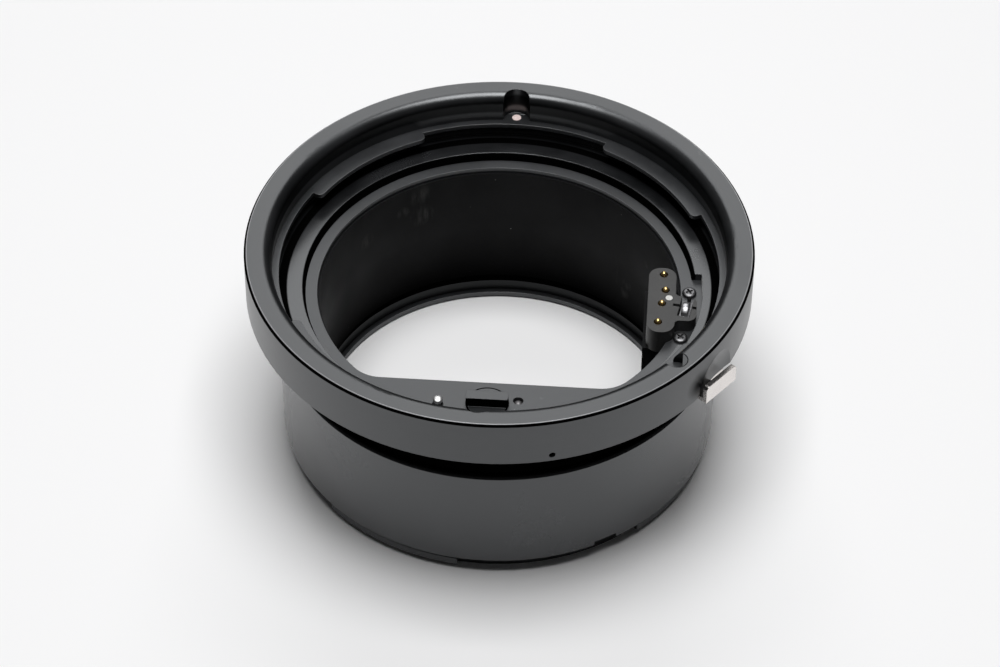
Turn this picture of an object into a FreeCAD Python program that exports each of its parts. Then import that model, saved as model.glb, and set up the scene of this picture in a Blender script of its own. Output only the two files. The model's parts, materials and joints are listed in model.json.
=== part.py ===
# Macro extension tube for a medium format camera.
# It stands on its camera side, with +Z towards the lens. The origin is on the tube's axis, in the
# plane of its lowest face. +Y is the index mark, -Y the drive shaft, and +X the contacts.
import FreeCAD
import Part
import math
import os

os.makedirs("parts", exist_ok=True)

# Driving lengths, in millimetres
extension = 32.0
spigot_length = 3.3
recess_depth = 5.3
recess_radius = 38.0
collar_overlap = 3.3
rim_width = 4.5
rim_edge_radius = 1.8
rim_chamfer = 0.4
barrel_clearance = 0.8
barrel_wall = 2.0
groove_drop = 8.65
groove_depth = 1.0
groove_chamfer = 0.7

# Lens mount
flange_thickness = 0.8
flange_ledge = 1.1
lug_reach = 1.7
lug_count = 4
lug_width_deg = 38.5
lug_centre_deg = 44.5
lug_corner = 1.0
ledge_drop = 3.3
ledge_width = 2.1
ledge_thickness = 1.4
ledge_slope = 0.55
undercut_step = 0.05
skirt_wall = 1.6
skirt_land = 0.6

# Light path
mask_thickness = 1.0
mask_inset = 2.5
mask_corner = 6.0
baffle_inset = 0.4
baffle_wall = 0.6
baffle_lip = 0.2
baffle_stop = 0.5
baffle_side = 2.0

# Camera mount
mount_clearance = 0.3
neck_rim = 1.3
neck_gap = 0.3
male_lug_thickness = 1.3
male_lug_gap = 0.9
male_lug_width_deg = 39.5
male_lug_centre_deg = -26.5
rear_flange_height = 2.7
rear_plate_thickness = 0.8
rear_plate_lift = 0.4
bolt_notch_deg = -57.2
bolt_notch_width = 4.2
bolt_notch_height = 0.8
rear_screw_radius = 0.9
rear_screw_head_radius = 1.35
rear_screw_cover = 0.2
rear_screw_first_deg = 40.0
rear_screw_count = 4
screw_tip_gap = 0.8

# Index groove, and the relief beside the drive shaft
index_radius = 2.3
index_x = 0.35
index_inset = 0.1
index_dot_radius = 0.78
index_dot_shift = 0.85
drive_relief_radius = 2.2
drive_relief_x = -0.8
drive_relief_inset = 0.5

# Drive shaft
shaft_inset = 3.15
shaft_to_chord = 4.65
shaft_radius = 2.0
disc_radius = 3.3
disc_thickness = 0.7
disc_gap = 0.2
disc_rise = 0.05
tongue_length = 6.9
tongue_width = 1.9
tongue_height = 1.9
tongue_offset = 0.05
slot_width = 2.3
slot_depth = 1.2
rear_head_radius = 3.0
rear_head_height = 1.6
bush_radius = 3.25
bush_length = 3.0

# Catch stud and catch plunger beside the shaft
stud_offset = (-8.0, -0.85)
stud_radius = 0.85
stud_height = 1.5
stud_dome = 0.6
stud_foot_radius = 1.3
stud_foot_height = 0.7
plunger_offset = (5.0, 0.85)
plunger_radius = 0.75
plunger_dome = 0.45
plunger_recess = 0.25
plunger_travel = 1.0
plunger_head_radius = 1.0
plunger_head_height = 0.8
guide_radius = 1.5
plunger_spring_pressed = 3.1
plunger_spring_turns = 5
guide_floor = 0.6

# Contact block
block_height = 2.4
block_depth = 2.2
block_inset = 0.85
block_width = 4.65
block_front = -11.2
block_back = 4.4
block_end_radius = 2.1
ear_width = 3.55
ear_front = -8.2
ear_back = -2.3
ear_corner = 1.5
ear_inner_corner = 0.8
pocket_depth = 1.15
pocket_front = -12.9
pocket_back = 4.4
pin_places = [(2.5, 2.8), (2.9, -1.0), (2.4, -4.25), (1.9, -8.75)]
pin_radius = 0.5
pin_dome = 0.4
pin_rise = 0.6
pin_hole_radius = 0.7
pin_collar_radius = 0.8
pin_collar_height = 0.45
pin_bore_radius = 0.9
pin_bore_top = 0.8
pin_travel = 0.5
pin_spring_pressed = 2.05
pin_spring_turns = 4
mark_place = (3.55, -2.9)
mark_radius = 0.6
mark_rise = 0.05
mark_inset = 0.1
pad_place = (6.4, -4.75)
pad_turn_deg = -9.0
pad_size = (1.35, 3.0)
pad_rise = 0.35
pad_foot = (1.7, 4.3)
pad_foot_height = 0.4
pad_foot_drop = 0.9
pad_travel = 0.35
pad_spring_pressed = 0.45
pad_spring_radius = 0.5
pad_spring_turns = 2
pad_pocket = (2.1, 4.9)
pad_slit = (4.3, 0.6)
pad_slit_depth = 0.7

# Contact column and camera side contacts
column_step = 0.5
column_front = -10.4
column_back = 3.4
column_rib_pitch = 1.6
column_rib_width = 0.7
column_rib_depth = 0.5
rear_block_height = 3.2
rear_pad_radius = 0.85
rear_pad_thickness = 0.3

# Mask plate screws
mask_screw_places = [(6.9, 0.9), (5.75, -10.1)]
mask_screw_head_radius = 1.2
mask_screw_head_height = 0.75
mask_screw_edge = 0.25
mask_screw_radius = 0.6
mask_screw_length = 3.4
mask_boss_width = 3.0

# Collar set screws
set_screw_degs = [-74.5, 45.5, 165.5]
set_screw_radius = 0.5
set_screw_recess = 0.7
set_screw_bite = 0.25

# Release lever and lock bolt
lever_turn_deg = -38.0
lever_thickness = 0.8
lever_wall = 0.45
lever_arm = (-2.6, 6.0)
lever_tab = (1.9, 9.45)
lever_reach = 1.1
lever_tab_rise = 3.4
lever_gap = 0.2
lever_web = 1.0
lever_travel = 1.5
lever_spring_pressed = 1.2
lever_spring_turns = 4
lever_clearance = 0.15
lever_roof = 1.6
scoop_radius = 22.0
scoop_depth = 0.85
scoop_deg = -29.5
bolt_deg = -39.77
bolt_step = 1.55
bolt_radius = 1.7
bolt_flat = 0.9
bolt_step_depth = 2.2
spring_plug_height = 0.6
spring_plug_end = 1.6

# Clearances and springs
fit_gap = 0.05
loose_gap = 0.1
drill_gap = 0.05
spring_wire = 0.12
spring_sides = 4
through = 1.0

# Levels that follow from the lengths above
camera_seat = spigot_length
lens_seat = camera_seat + extension
rim = lens_seat + recess_depth
collar_base = lens_seat - collar_overlap
ledge = lens_seat - ledge_drop
mask_top = ledge - ledge_thickness
mask_base = mask_top - mask_thickness
flange_base = lens_seat - flange_thickness
set_screw_level = (collar_base + flange_base) / 2
groove_base = collar_base - groove_drop
rear_plate_top = rear_plate_lift + rear_plate_thickness
rear_flange_top = camera_seat + rear_flange_height
rear_screw_end = rear_flange_top - rear_screw_cover
baffle_end = rear_flange_top - baffle_stop
block_top = mask_top + block_height
block_base = mask_top - block_depth
spring_seat_top = collar_base + spring_plug_height
spring_top = spring_seat_top + lever_travel + lever_spring_pressed
lever_top = spring_top + lever_roof

# Radii that follow from the lens recess
collar_radius = recess_radius + rim_width
undercut_radius = recess_radius + undercut_step
skirt_radius = undercut_radius + skirt_wall
screw_seat_radius = skirt_radius - set_screw_bite
barrel_radius = recess_radius - barrel_clearance
barrel_bore = barrel_radius - barrel_wall
groove_radius = barrel_radius - groove_depth
flange_hole_radius = recess_radius - flange_ledge
lug_radius = flange_hole_radius - lug_reach
ledge_radius = lug_radius - ledge_width
pocket_radius = ledge_radius + pocket_depth
mask_radius = ledge_radius - mask_inset
baffle_radius = mask_radius - baffle_inset
neck_radius = lug_radius - mount_clearance
neck_bore = baffle_radius + baffle_wall + neck_gap
male_lug_radius = flange_hole_radius - mount_clearance
rear_plate_radius = neck_radius - neck_rim
rear_screw_circle = (neck_bore + rear_plate_radius) / 2
lever_plane = skirt_radius + lever_wall
lever_tab_face = collar_radius + lever_reach

# Places that follow from those radii
shaft_centre = (0.0, shaft_inset - mask_radius)
mask_chord = -shaft_centre[1] - shaft_to_chord
stud_centre = (shaft_centre[0] + stud_offset[0], shaft_centre[1] + stud_offset[1])
plunger_centre = (shaft_centre[0] + plunger_offset[0], shaft_centre[1] + plunger_offset[1])
block_right = mask_radius - block_inset
block_left = block_right - block_width
ear_right = block_right + ear_width
column_left = block_left - column_step
pin_centres = [(block_left + x, y) for x, y in pin_places]
mark_centre = (block_left + mark_place[0], mark_place[1])
pad_centre = (block_left + pad_place[0], pad_place[1])
mask_screw_centres = [(block_left + x, y) for x, y in mask_screw_places]
index_centre = (index_x, recess_radius - index_inset)
index_dot_y = index_centre[1] + index_dot_shift
drive_relief_centre = (drive_relief_x, drive_relief_inset - recess_radius)


def vec(x, y, z=0.0):
    return FreeCAD.Vector(x, y, z)


def polar(radius, deg, z=0.0):
    a = math.radians(deg)
    return vec(radius * math.cos(a), radius * math.sin(a), z)


def cylinder(radius, low, high, centre=(0.0, 0.0)):
    return Part.makeCylinder(radius, high - low, vec(centre[0], centre[1], low))


def tube(outer, inner, low, high, centre=(0.0, 0.0)):
    return cylinder(outer, low, high, centre).cut(cylinder(inner, low - through, high + through, centre))


def box(x0, x1, y0, y1, z0, z1):
    return Part.makeBox(x1 - x0, y1 - y0, z1 - z0, vec(x0, y0, z0))


def turned(points):
    """Solid of revolution about the axis from (radius, height) corners."""
    corners = [vec(r, 0.0, z) for r, z in points]
    wire = Part.makePolygon(corners + corners[:1])
    return Part.Face(wire).revolve(vec(0, 0), vec(0, 0, 1), 360)


def sector(inner, outer, low, high, start_deg, end_deg):
    """Part of a flat ring between two angles."""
    face = Part.Face(Part.makePolygon([vec(inner, 0, low), vec(outer, 0, low), vec(outer, 0, high),
                                       vec(inner, 0, high), vec(inner, 0, low)]))
    piece = face.revolve(vec(0, 0), vec(0, 0, 1), end_deg - start_deg)
    return spun(piece, start_deg)


def spun(shape, deg, centre=(0.0, 0.0)):
    turned_shape = shape.copy()
    turned_shape.rotate(vec(centre[0], centre[1]), vec(0, 0, 1), deg)
    return turned_shape


def prism(wire, low, high):
    face = Part.Face(wire)
    face.translate(vec(0, 0, low))
    return face.extrude(vec(0, 0, high - low))


def rounded_outline(corners):
    """Closed wire through (x, y, corner radius) points with tangent arcs at the corners."""
    count = len(corners)
    starts, ends, middles = [], [], []
    for i, (x, y, radius) in enumerate(corners):
        here = vec(x, y)
        to_last = vec(*corners[i - 1][:2]).sub(here).normalize()
        to_next = vec(*corners[(i + 1) % count][:2]).sub(here).normalize()
        half = to_last.getAngle(to_next) / 2
        reach = radius / math.tan(half)
        bisector = to_last.add(to_next).normalize()
        starts.append(here + to_last * reach)
        ends.append(here + to_next * reach)
        middles.append(here + bisector * (radius / math.sin(half) - radius))
    edges = []
    for i in range(count):
        edges.append(Part.Arc(starts[i], middles[i], ends[i]).toShape())
        edges.append(Part.LineSegment(ends[i], starts[(i + 1) % count]).toShape())
    return Part.Wire(edges)


def chorded_circle(radius, chord, corner):
    """Circle cut off by a straight edge on the -Y side, with rounded corners."""
    across = math.sqrt((radius - corner) ** 2 - (chord - corner) ** 2)
    centre = vec(across, corner - chord)
    on_circle = centre * (radius / (radius - corner))
    on_chord = vec(across, -chord)
    bisector = (on_circle.sub(centre).normalize() + on_chord.sub(centre).normalize()).normalize()
    middle = centre + bisector * corner
    mirror = [vec(-p.x, p.y) for p in (on_circle, middle, on_chord)]
    return Part.Wire([
        Part.LineSegment(mirror[2], on_chord).toShape(),
        Part.Arc(on_chord, middle, on_circle).toShape(),
        Part.Arc(on_circle, vec(0, radius), mirror[0]).toShape(),
        Part.Arc(mirror[0], mirror[1], mirror[2]).toShape(),
    ])


def coil_spring(centre, low, high, radius, turns):
    """Round coil of thin wire, its section a regular polygon."""
    height = high - low - 2 * spring_wire
    helix = Part.makeHelix(height / turns, height, radius)
    ring = [vec(radius + spring_wire * math.cos(2 * math.pi * i / spring_sides), 0,
                spring_wire * math.sin(2 * math.pi * i / spring_sides)) for i in range(spring_sides)]
    section = Part.makePolygon(ring + ring[:1])
    coil = Part.Wire(helix.Edges).makePipeShell([section], True, True)
    coil.translate(vec(centre[0], centre[1], low + spring_wire))
    return coil


def domed_pin(centre, radius, low, high, dome):
    """Round pin with a spherical end."""
    ball = (radius ** 2 + dome ** 2) / (2 * dome)
    shaft = cylinder(radius, low, high, centre)
    cap = Part.makeSphere(ball, vec(centre[0], centre[1], high - ball))
    return shaft.common(cap.fuse(cylinder(radius, low, high - dome, centre)))


def save(name, shape):
    shape.exportStep("parts/" + name + ".step")
    print(name, len(shape.Solids), round(shape.Volume, 3), shape.isValid())


def rim_section(inner):
    """Turned body below the collar's rim, with its rounded inner edge and its outer chamfer."""
    edge = recess_radius + rim_edge_radius
    low = rim - rim_edge_radius
    bend = math.sqrt(0.5)
    middle = vec(edge - rim_edge_radius * bend, 0, low + rim_edge_radius * bend)
    points = [vec(edge, 0, rim), vec(collar_radius - rim_chamfer, 0, rim),
              vec(collar_radius, 0, rim - rim_chamfer), vec(collar_radius, 0, collar_base),
              vec(inner, 0, collar_base), vec(inner, 0, low), vec(recess_radius, 0, low)]
    if inner == recess_radius:
        points.pop()
    edges = [Part.LineSegment(a, b).toShape() for a, b in zip(points, points[1:])]
    edges.append(Part.Arc(points[-1], middle, points[0]).toShape())
    return Part.Face(Part.Wire(edges)).revolve(vec(0, 0), vec(0, 0, 1), 360)


def in_lever_frame(shape):
    return spun(shape, lever_turn_deg)


def lever_pocket():
    """Space inside the collar for the lever's arm and its spring, open below."""
    return in_lever_frame(box(lever_plane - lever_clearance,
                              lever_plane + lever_thickness + lever_clearance,
                              lever_arm[0] - lever_clearance, lever_arm[1] + lever_clearance,
                              collar_base - through, lever_top + 2 * lever_clearance))


def thumb_scoop():
    reach = collar_radius + scoop_radius - scoop_depth
    return Part.makeSphere(scoop_radius, polar(reach, scoop_deg, collar_base))


def set_screw_hole(deg):
    hole = Part.makeCylinder(set_screw_radius + drill_gap, collar_radius + through,
                             vec(0, 0, set_screw_level), vec(1, 0, 0))
    return spun(hole, deg)


def bolt_centre():
    place = polar(recess_radius + bolt_step, bolt_deg)
    return place.x, place.y


def collar():
    body = rim_section(recess_radius)
    body = body.cut(cylinder(skirt_radius + fit_gap, collar_base - through, lens_seat))
    body = body.cut(cylinder(index_radius, lens_seat, rim + through, index_centre))
    body = body.cut(cylinder(drive_relief_radius, lens_seat, rim + through, drive_relief_centre))
    body = body.cut(cylinder(bolt_radius + loose_gap, lens_seat, rim + through, bolt_centre()))
    body = body.cut(lever_pocket())
    body = body.cut(thumb_scoop())
    for deg in set_screw_degs:
        body = body.cut(set_screw_hole(deg))
    return body


def bayonet_ring():
    """Thin flange plate with the inward lugs that hold a lens."""
    ring = tube(skirt_radius, flange_hole_radius, flange_base, lens_seat)
    half = lug_width_deg / 2
    lug = sector(lug_radius, flange_hole_radius + through / 2, flange_base, lens_seat, -half, half)
    corners = [e for e in lug.Edges if e.Length < flange_thickness + fit_gap
               and abs(e.CenterOfMass.z - (flange_base + lens_seat) / 2) < fit_gap
               and math.hypot(e.CenterOfMass.x, e.CenterOfMass.y) < lug_radius + fit_gap]
    lug = lug.makeFillet(lug_corner, corners)
    for i in range(lug_count):
        ring = ring.fuse(spun(lug, lug_centre_deg + i * 360.0 / lug_count))
    ring = ring.cut(cylinder(index_dot_radius + drill_gap, lens_seat - mark_inset, rim,
                             (index_centre[0], index_dot_y)))
    return ring.removeSplitter()


def mask_boss(centre):
    """Lug on the barrel's inner wall that takes a mask plate screw."""
    deg = math.degrees(math.atan2(centre[1], centre[0]))
    half = mask_boss_width / 2
    inner = baffle_radius + baffle_wall + loose_gap
    boss = box(inner, barrel_bore + barrel_wall / 2, -half, half,
               mask_top - mask_screw_length - screw_tip_gap, mask_base)
    boss = spun(boss, deg)
    return boss.cut(cylinder(mask_screw_radius + drill_gap, 0, rim, centre))


def contact_pocket():
    pocket = cylinder(pocket_radius, mask_top - fit_gap, ledge + through)
    return pocket.common(box(block_left, collar_radius, pocket_front, pocket_back, 0, rim))


def bolt_notch():
    notch = box(neck_radius + through, barrel_radius + through, -bolt_notch_width / 2,
                bolt_notch_width / 2, camera_seat - through, camera_seat + bolt_notch_height)
    return spun(notch, bolt_notch_deg)


def rear_screw_centres():
    points = [polar(rear_screw_circle, rear_screw_first_deg + i * 360.0 / rear_screw_count)
              for i in range(rear_screw_count)]
    return [(p.x, p.y) for p in points]


def barrel():
    """Tube wall with a groove under the collar, the seat ledge at its top and a flange at its foot."""
    cone_base = collar_base - (skirt_radius - groove_radius) - skirt_land
    body = turned([
        (barrel_bore, rear_flange_top), (neck_bore, rear_flange_top), (neck_bore, camera_seat),
        (barrel_radius, camera_seat), (barrel_radius, groove_base - groove_chamfer),
        (barrel_radius - groove_chamfer, groove_base), (groove_radius, groove_base),
        (groove_radius, cone_base), (skirt_radius, cone_base + skirt_radius - groove_radius),
        (skirt_radius, flange_base), (undercut_radius, flange_base), (undercut_radius, ledge),
        (ledge_radius, ledge), (ledge_radius - ledge_slope, mask_top), (barrel_bore, mask_top)])
    body = body.cut(contact_pocket())
    for centre in mask_screw_centres:
        body = body.fuse(mask_boss(centre))
    body = body.cut(bolt_notch())
    for centre in rear_screw_centres():
        body = body.cut(cylinder(rear_screw_radius + drill_gap, 0, rear_screw_end, centre))
    for deg in set_screw_degs:
        body = body.cut(set_screw_hole(deg).cut(cylinder(screw_seat_radius, 0, rim)))
    return body.removeSplitter()


def column_profile():
    """Section of the contact column: flat inside, and round where it lies on the baffle."""
    block = box(column_left, baffle_radius + through, column_front, column_back, 0, rim)
    return block.common(cylinder(baffle_radius, 0, rim))


def mask_plate():
    """Front plate with the chorded light opening, under the seat ledge."""
    plate = cylinder(barrel_bore - loose_gap, mask_base, mask_top)
    plate = plate.cut(prism(chorded_circle(mask_radius, mask_chord, mask_corner), mask_base - through,
                            mask_top + through))
    plate = plate.cut(cylinder(disc_radius + disc_gap, mask_base - through, mask_top + through,
                               shaft_centre))
    plate = plate.cut(cylinder(stud_radius + drill_gap, mask_base - through, mask_top + through,
                               stud_centre))
    plate = plate.cut(cylinder(plunger_radius + loose_gap, mask_base - through, mask_top + through,
                               plunger_centre))
    for centre in mask_screw_centres:
        plate = plate.cut(cylinder(mask_screw_radius + drill_gap, 0, rim, centre))
    body_hole = prism(body_outline(loose_gap), mask_base - through, mask_top + through)
    return plate.cut(body_hole)


def light_baffle():
    """Thin walled liner of the light path, flat behind the drive shaft and shorter at its back."""
    chord = mask_chord + baffle_lip
    outer = chorded_circle(baffle_radius + baffle_wall, chord + baffle_wall, mask_corner)
    inner = chorded_circle(baffle_radius, chord, mask_corner - baffle_wall)
    liner = prism(outer, rear_plate_top, mask_base)
    liner = liner.cut(prism(inner, rear_plate_top - through, mask_base + through))
    return liner.cut(box(-collar_radius, collar_radius, column_back + baffle_side, collar_radius,
                         rear_plate_top - through, baffle_end))


def rear_bayonet():
    """Ring under the barrel with the outward lugs that lock into a camera."""
    ring = turned([(rear_plate_radius + loose_gap, 0), (neck_radius, 0), (neck_radius, camera_seat),
                   (neck_bore, camera_seat), (neck_bore, rear_plate_top),
                   (rear_plate_radius + loose_gap, rear_plate_top)])
    high = camera_seat - male_lug_gap
    half = male_lug_width_deg / 2
    lug = sector(neck_radius - through, male_lug_radius, high - male_lug_thickness, high, -half, half)
    for i in range(lug_count):
        ring = ring.fuse(spun(lug, male_lug_centre_deg + i * 360.0 / lug_count))
    for centre in rear_screw_centres():
        ring = ring.cut(cylinder(rear_screw_radius + drill_gap, 0, camera_seat + through, centre))
    return ring.removeSplitter()


def rear_mask_plate():
    """Camera side plate with the same chorded opening as the front."""
    plate = cylinder(rear_plate_radius, rear_plate_lift, rear_plate_top)
    opening = chorded_circle(baffle_radius, mask_chord + baffle_lip, mask_corner - baffle_wall)
    plate = plate.cut(prism(opening, 0, rear_plate_top + through))
    plate = plate.cut(cylinder(rear_head_radius + disc_gap, 0, rear_plate_top + through, shaft_centre))
    for centre in rear_screw_centres():
        plate = plate.cut(screw_cone(centre, drill_gap))
        plate = plate.cut(cylinder(rear_screw_radius + drill_gap, 0, camera_seat, centre))
    return plate


def screw_cone(centre, extra=0.0):
    """Countersunk head below the rear plate."""
    height = rear_screw_head_radius - rear_screw_radius
    return Part.makeCone(rear_screw_head_radius + extra, rear_screw_radius + extra, height,
                         vec(centre[0], centre[1], rear_plate_lift))


def rear_screws():
    screws = []
    for centre in rear_screw_centres():
        shank = cylinder(rear_screw_radius, rear_plate_lift, rear_screw_end - screw_tip_gap, centre)
        screws.append(shank.fuse(screw_cone(centre)))
    return Part.makeCompound(screws)


def coupling_shaft():
    """Drive shaft with a tongue for the lens in front and a slot for the camera behind."""
    disc_top = mask_top + disc_rise
    disc = cylinder(disc_radius, mask_top - disc_thickness, disc_top, shaft_centre)
    tongue = box(-tongue_length / 2, tongue_length / 2, -tongue_width / 2, tongue_width / 2,
                 disc_top, mask_top + tongue_height)
    ends = cylinder(tongue_length / 2, 0, rim)
    tongue = tongue.common(ends.fuse(box(-tongue_length, 0, -tongue_width, tongue_width, 0, rim)))
    tongue.translate(vec(shaft_centre[0], shaft_centre[1] - tongue_offset))
    head_top = rear_plate_lift + rear_head_height
    shaft = cylinder(shaft_radius, head_top - fit_gap, mask_top - disc_thickness + fit_gap, shaft_centre)
    head = cylinder(rear_head_radius, rear_plate_lift, head_top, shaft_centre)
    slot = box(shaft_centre[0] - rear_head_radius, shaft_centre[0] + rear_head_radius,
               shaft_centre[1] - slot_width / 2, shaft_centre[1] + slot_width / 2, 0,
               rear_plate_lift + slot_depth)
    return disc.fuse([tongue, shaft, head]).cut(slot).removeSplitter()


def shaft_bush_front():
    return tube(bush_radius, shaft_radius + fit_gap, mask_base - bush_length, mask_base, shaft_centre)


def shaft_bush_rear():
    """Bush that stands on the rear plate, counterbored over the shaft's slotted head."""
    bush = tube(bush_radius + loose_gap, shaft_radius + fit_gap, rear_plate_top,
                rear_plate_top + bush_length, shaft_centre)
    head_top = rear_plate_lift + rear_head_height
    return bush.cut(cylinder(rear_head_radius + loose_gap, 0, head_top + loose_gap, shaft_centre))


def catch_stud():
    """Fixed domed stud, headed under the mask plate."""
    stud = domed_pin(stud_centre, stud_radius, mask_base - stud_foot_height / 2,
                     mask_top + stud_height, stud_dome)
    foot = cylinder(stud_foot_radius, mask_base - stud_foot_height, mask_base, stud_centre)
    return stud.fuse(foot)


def plunger_levels():
    """Top of the pin, its head's lower side, and the guide's floor."""
    top = mask_top - plunger_recess
    head_low = mask_base - plunger_head_height
    floor = head_low - plunger_travel - plunger_spring_pressed
    return top, head_low, floor


def catch_plunger():
    top, head_low, _ = plunger_levels()
    pin = domed_pin(plunger_centre, plunger_radius, head_low, top, plunger_dome)
    return pin.fuse(cylinder(plunger_head_radius, head_low, mask_base, plunger_centre))


def plunger_guide():
    """Closed tube under the mask plate that guides the plunger."""
    _, _, floor = plunger_levels()
    guide = cylinder(guide_radius, floor - guide_floor, mask_base, plunger_centre)
    return guide.cut(cylinder(plunger_head_radius + loose_gap, floor, rim, plunger_centre))


def plunger_spring():
    _, head_low, floor = plunger_levels()
    return coil_spring(plunger_centre, floor, head_low, plunger_head_radius - 2 * spring_wire,
                       plunger_spring_turns)


def block_outline():
    """Top of the contact block: a round ended bar with an ear towards the rim."""
    return rounded_outline([
        (block_left, block_front, block_end_radius), (block_right, block_front, block_end_radius),
        (block_right, ear_front, ear_inner_corner), (ear_right, ear_front, ear_corner),
        (ear_right, ear_back, ear_corner), (block_right, ear_back, ear_inner_corner),
        (block_right, block_back, block_end_radius), (block_left, block_back, block_end_radius)])


def body_outline(extra):
    """The bar of the contact block, below the mask plate's top."""
    low, high = block_left - extra, block_right + extra
    end = block_end_radius + extra
    return rounded_outline([(low, block_front - extra, end), (high, block_front - extra, end),
                            (high, block_back + extra, end), (low, block_back + extra, end)])


def on_ear(shape):
    """Turns and moves a piece built about the axis to the contact pad's place on the ear."""
    return spun(shape, pad_turn_deg).translated(vec(pad_centre[0], pad_centre[1]))


def pad_bar(size, low, high):
    return box(-size[0] / 2, size[0] / 2, -size[1] / 2, size[1] / 2, low, high)


def pad_levels():
    """Upper and lower side of the contact pad's foot, and the floor of its pocket."""
    foot_top = block_top - pad_foot_drop
    foot_base = foot_top - pad_foot_height
    return foot_top, foot_base, foot_base - pad_travel - pad_spring_pressed


def contact_block():
    block = prism(block_outline(), mask_top, block_top)
    block = block.common(cylinder(pocket_radius - loose_gap, 0, rim))
    waist = prism(body_outline(0.0), mask_base, mask_top + fit_gap)
    lower = prism(body_outline(0.0), block_base, mask_base + fit_gap)
    lower = lower.common(cylinder(baffle_radius - drill_gap, 0, rim))
    block = block.fuse([waist, lower]).removeSplitter()
    shoulder, _, floor = pin_levels()
    for centre in pin_centres:
        block = block.cut(cylinder(pin_hole_radius, shoulder, rim, centre))
        block = block.cut(cylinder(pin_bore_radius, floor, shoulder, centre))
    block = block.cut(cylinder(mark_radius + drill_gap, block_top - mark_inset, rim, mark_centre))
    block = block.cut(on_ear(pad_bar(pad_pocket, pad_levels()[2], rim)))
    return block.cut(on_ear(pad_bar(pad_slit, block_top - pad_slit_depth, rim)))


def pin_levels():
    """Shoulder that stops a contact pin's collar, the collar's lower side, and the bore's floor."""
    shoulder = block_top - pin_bore_top
    low = shoulder - pin_collar_height
    return shoulder, low, low - pin_travel - pin_spring_pressed


def contact_pin(centre):
    shoulder, low, _ = pin_levels()
    pin = domed_pin(centre, pin_radius, low, block_top + pin_rise, pin_dome)
    return pin.fuse(cylinder(pin_collar_radius, low, shoulder - drill_gap, centre))


def contact_spring(centre):
    _, low, floor = pin_levels()
    return coil_spring(centre, floor, low, pin_collar_radius - 2 * spring_wire, pin_spring_turns)


def ground_contact():
    """Rounded sprung pad in the ear's slot, with a foot that keeps it in."""
    foot_top, foot_base, _ = pad_levels()
    top = block_top + pad_rise
    pad = pad_bar(pad_size, foot_base, top)
    ends = [e for e in pad.Edges if abs(e.CenterOfMass.z - top) < fit_gap
            and abs(e.tangentAt(e.FirstParameter).x) > 0.9]
    pad = pad.makeFillet(pad_rise + fit_gap, ends)
    return on_ear(pad.fuse(pad_bar(pad_foot, foot_base, foot_top)))


def ground_spring():
    _, foot_base, floor = pad_levels()
    return coil_spring(pad_centre, floor, foot_base, pad_spring_radius, pad_spring_turns)


def contact_mark():
    return cylinder(mark_radius, block_top - mark_inset, block_top + mark_rise, mark_centre)


def contact_column():
    """Housing of the wires, ribbed on the side that faces the light path."""
    low = rear_plate_lift + rear_block_height
    column = column_profile().common(box(0, collar_radius, -collar_radius, collar_radius, low,
                                         block_base))
    grooves = []
    level = low + column_rib_pitch
    while level + column_rib_width < block_base - column_rib_pitch / 2:
        grooves.append(box(column_left - through, column_left + column_rib_depth,
                           column_front - through, column_back + through, level,
                           level + column_rib_width))
        level += column_rib_pitch
    return column.cut(Part.makeCompound(grooves))


def rear_contact_block():
    block = column_profile().common(box(0, collar_radius, -collar_radius, collar_radius,
                                        rear_plate_lift, rear_plate_lift + rear_block_height))
    for centre in pin_centres:
        block = block.cut(cylinder(rear_pad_radius + drill_gap, 0, rear_plate_lift + rear_pad_thickness,
                                   centre))
    return block


def rear_contact_pads():
    pads = [cylinder(rear_pad_radius, rear_plate_lift, rear_plate_lift + rear_pad_thickness, centre)
            for centre in pin_centres]
    return Part.makeCompound(pads)


def mask_screws():
    screws = []
    for centre in mask_screw_centres:
        head = cylinder(mask_screw_head_radius, mask_top, mask_top + mask_screw_head_height, centre)
        top_edge = [e for e in head.Edges if e.CenterOfMass.z > mask_top + mask_screw_head_height / 2
                    and len(e.Vertexes) == 1]
        head = head.makeChamfer(mask_screw_edge, top_edge)
        shank = cylinder(mask_screw_radius, mask_top - mask_screw_length, mask_top + fit_gap, centre)
        screws.append(head.fuse(shank).removeSplitter())
    return Part.makeCompound(screws)


def set_screws():
    screws = []
    for deg in set_screw_degs:
        screw = Part.makeCylinder(set_screw_radius, collar_radius - set_screw_recess - screw_seat_radius,
                                  vec(screw_seat_radius, 0, set_screw_level), vec(1, 0, 0))
        screws.append(spun(screw, deg))
    return Part.makeCompound(screws)


def release_lever():
    """Bent sheet: an arm inside the collar, a foot under it and a tab in front of the scoop."""
    top = collar_base - lever_gap
    low = top - lever_thickness
    face = lever_tab_face - lever_thickness
    arm = box(lever_plane, lever_plane + lever_thickness, lever_arm[0], lever_arm[1], low, lever_top)
    spring_space = box(lever_plane - through, lever_plane + 2 * through, lever_arm[0] - through,
                       lever_tab[0], low - through, spring_top)
    foot = box(lever_plane, lever_tab_face, lever_tab[0], lever_tab[1], low, top)
    outer = box(lever_plane + lever_thickness, face + fit_gap, lever_arm[1], lever_tab[1] + through,
                low - through, top + through)
    keep = box(lever_plane + lever_thickness + lever_web, lever_tab_face, lever_tab[0], lever_tab[1],
               low, top)
    foot = foot.cut(outer).fuse(keep)
    tab = box(face, lever_tab_face, lever_tab[0], lever_tab[1], low, low + lever_tab_rise)
    corners = [e for e in tab.Edges if abs(e.CenterOfMass.z - low - lever_tab_rise) < fit_gap
               and abs(e.tangentAt(e.FirstParameter).x) > 0.9]
    tab = tab.makeFillet(lever_thickness, corners)
    sheet = arm.cut(spring_space).fuse([foot, tab]).removeSplitter()
    return in_lever_frame(sheet)


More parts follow.
